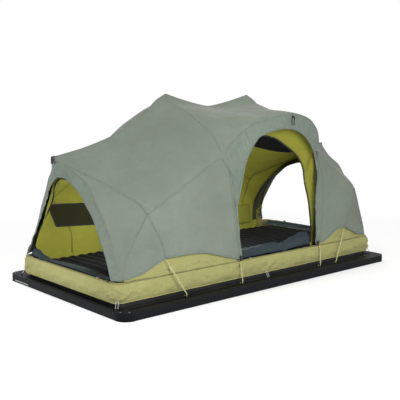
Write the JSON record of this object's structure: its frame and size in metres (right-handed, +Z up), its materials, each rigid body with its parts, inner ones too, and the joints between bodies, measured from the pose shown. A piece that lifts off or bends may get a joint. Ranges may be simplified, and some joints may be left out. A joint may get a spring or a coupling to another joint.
{
  "type": "roof top tent",
  "caption": "Pitched two-person roof top tent: soft fly over folding hoops on a flat roof platform, with a hooded side door, arched end doors, a padded tub and a quilted mattress.",
  "frame": {"origin": "centre of the platform's underside", "axes": "+X along the long side, +Y away from the side with the hooded door, +Z up"},
  "size_m": [2.2968, 1.26, 1.1635],
  "materials": {
    "charcoal_metal": "powder coated, satin",
    "board": "black sealed plywood",
    "tub_cloth": "coated canvas",
    "quilt": "quilted, matte",
    "inner_cloth": "thin woven cloth",
    "fly_cloth": "coated canvas",
    "pole": "anodised",
    "slate_cloth": "coated canvas",
    "cord": "braided",
    "steel": "plain",
    "tape": "woven webbing and coil"
  },
  "bodies": {
    "base": {"rail_near": "charcoal_metal", "rail_far": "charcoal_metal", "rail_left": "charcoal_metal", "rail_right": "charcoal_metal", "corner_near_left": "charcoal_metal", "corner_near_right": "charcoal_metal", "corner_far_left": "charcoal_metal", "corner_far_right": "charcoal_metal", "slat_1": "charcoal_metal", "slat_2": "charcoal_metal", "slat_3": "charcoal_metal", "slat_4": "charcoal_metal", "slat_5": "charcoal_metal", "base_frame": "charcoal_metal", "base_board": "board", "deck_panel": "board", "tub": "tub_cloth", "skirt_near_left": "tub_cloth", "skirt_near_right": "tub_cloth", "skirt_far": "tub_cloth", "mattress": "quilt", "inner_tent": "inner_cloth", "fly": "fly_cloth", "sill_flap_left": "slate_cloth", "sill_flap_right": "slate_cloth", "sill_flap_near": "slate_cloth", "guy_near_1": "cord", "guy_near_2": "cord", "guy_near_3": "cord", "guy_near_4": "cord", "guy_far_1": "cord", "guy_far_2": "cord", "guy_far_3": "cord", "guy_far_4": "cord", "zip_track_left": "tape", "zip_track_right": "tape", "zip_track_near": "tape", "end_tab_left": "tape", "end_tab_right": "tape"},
    "hoop_main_left": {"hoop_main_left": "pole"},
    "hoop_main_right": {"hoop_main_right": "pole"},
    "hoop_end_left": {"hoop_end_left": "pole"},
    "hoop_end_right": {"hoop_end_right": "pole"},
    "hood_clip": {"hood_clip": "steel"},
    "tie_link_near_left": {"tie_link_near_left": "steel"},
    "tie_link_near_middle": {"tie_link_near_middle": "steel"},
    "tie_link_near_right": {"tie_link_near_right": "steel"},
    "tie_link_far_left": {"tie_link_far_left": "steel"},
    "tie_link_far_middle": {"tie_link_far_middle": "steel"},
    "tie_link_far_right": {"tie_link_far_right": "steel"},
    "zip_slider_left": {"zip_slider_left": "steel"},
    "zip_slider_right": {"zip_slider_right": "steel"},
    "zip_slider_near": {"zip_slider_near": "steel"}
  },
  "joints": [
    {"name": "frame_fold", "type": "hinge", "parent": "base", "child": "hoop_main_left", "pos_m": [-0.51575, 0, 0.187], "axis": [0, 1, 0], "range_deg": [0, 80], "deforming": ["fly", "inner_tent", "skirt_near_left", "skirt_near_right", "skirt_far", "end_tab_left", "end_tab_right"]},
    {"name": "main_right_fold", "type": "hinge", "parent": "base", "child": "hoop_main_right", "pos_m": [0.51575, 0, 0.187], "axis": [0, 1, 0], "range_deg": [-68, 0]},
    {"name": "end_left_fold", "type": "hinge", "parent": "base", "child": "hoop_end_left", "pos_m": [-0.757, 0, 0.187], "axis": [0, 1, 0], "range_deg": [0, 88]},
    {"name": "end_right_fold", "type": "hinge", "parent": "base", "child": "hoop_end_right", "pos_m": [0.757, 0, 0.187], "axis": [0, 1, 0], "range_deg": [-88, 0]},
    {"name": "clip_drop", "type": "slide", "parent": "base", "child": "hood_clip", "axis": [0, 0, -1], "range_m": [0, 0.365]},
    {"name": "link_swing_near_left", "type": "hinge", "parent": "base", "child": "tie_link_near_left", "pos_m": [-1.084, -0.519, 0.0478], "axis": [0.7071, -0.7071, 0], "range_deg": [0, 95]},
    {"name": "link_swing_near_middle", "type": "hinge", "parent": "base", "child": "tie_link_near_middle", "pos_m": [0, -0.5605, 0.0478], "axis": [1, 0, 0], "range_deg": [0, 95]},
    {"name": "link_swing_near_right", "type": "hinge", "parent": "base", "child": "tie_link_near_right", "pos_m": [1.084, -0.519, 0.0478], "axis": [0.7071, 0.7071, 0], "range_deg": [0, 95]},
    {"name": "link_swing_far_left", "type": "hinge", "parent": "base", "child": "tie_link_far_left", "pos_m": [-1.084, 0.519, 0.0478], "axis": [-0.7071, -0.7071, 0], "range_deg": [0, 95]},
    {"name": "link_swing_far_middle", "type": "hinge", "parent": "base", "child": "tie_link_far_middle", "pos_m": [0, 0.5605, 0.0478], "axis": [-1, 0, 0], "range_deg": [0, 95]},
    {"name": "link_swing_far_right", "type": "hinge", "parent": "base", "child": "tie_link_far_right", "pos_m": [1.084, 0.519, 0.0478], "axis": [-0.7071, 0.7071, 0], "range_deg": [0, 95]},
    {"name": "zip_left", "type": "slide", "parent": "base", "child": "zip_slider_left", "axis": [0, 1, 0], "range_m": [-0.07, 0.71]},
    {"name": "zip_right", "type": "slide", "parent": "base", "child": "zip_slider_right", "axis": [0, 1, 0], "range_m": [-0.07, 0.71]},
    {"name": "zip_near", "type": "slide", "parent": "base", "child": "zip_slider_near", "axis": [1, 0, 0], "range_m": [-0.055, 0.55]}
  ],
  "couplings": [
    {"joint": "main_right_fold", "follows": "frame_fold", "ratio": -0.85},
    {"joint": "end_left_fold", "follows": "frame_fold", "ratio": 1.1},
    {"joint": "end_right_fold", "follows": "frame_fold", "ratio": -1.1},
    {"joint": "clip_drop", "follows": "frame_fold", "m_per_rad": 0.2614}
  ]
}
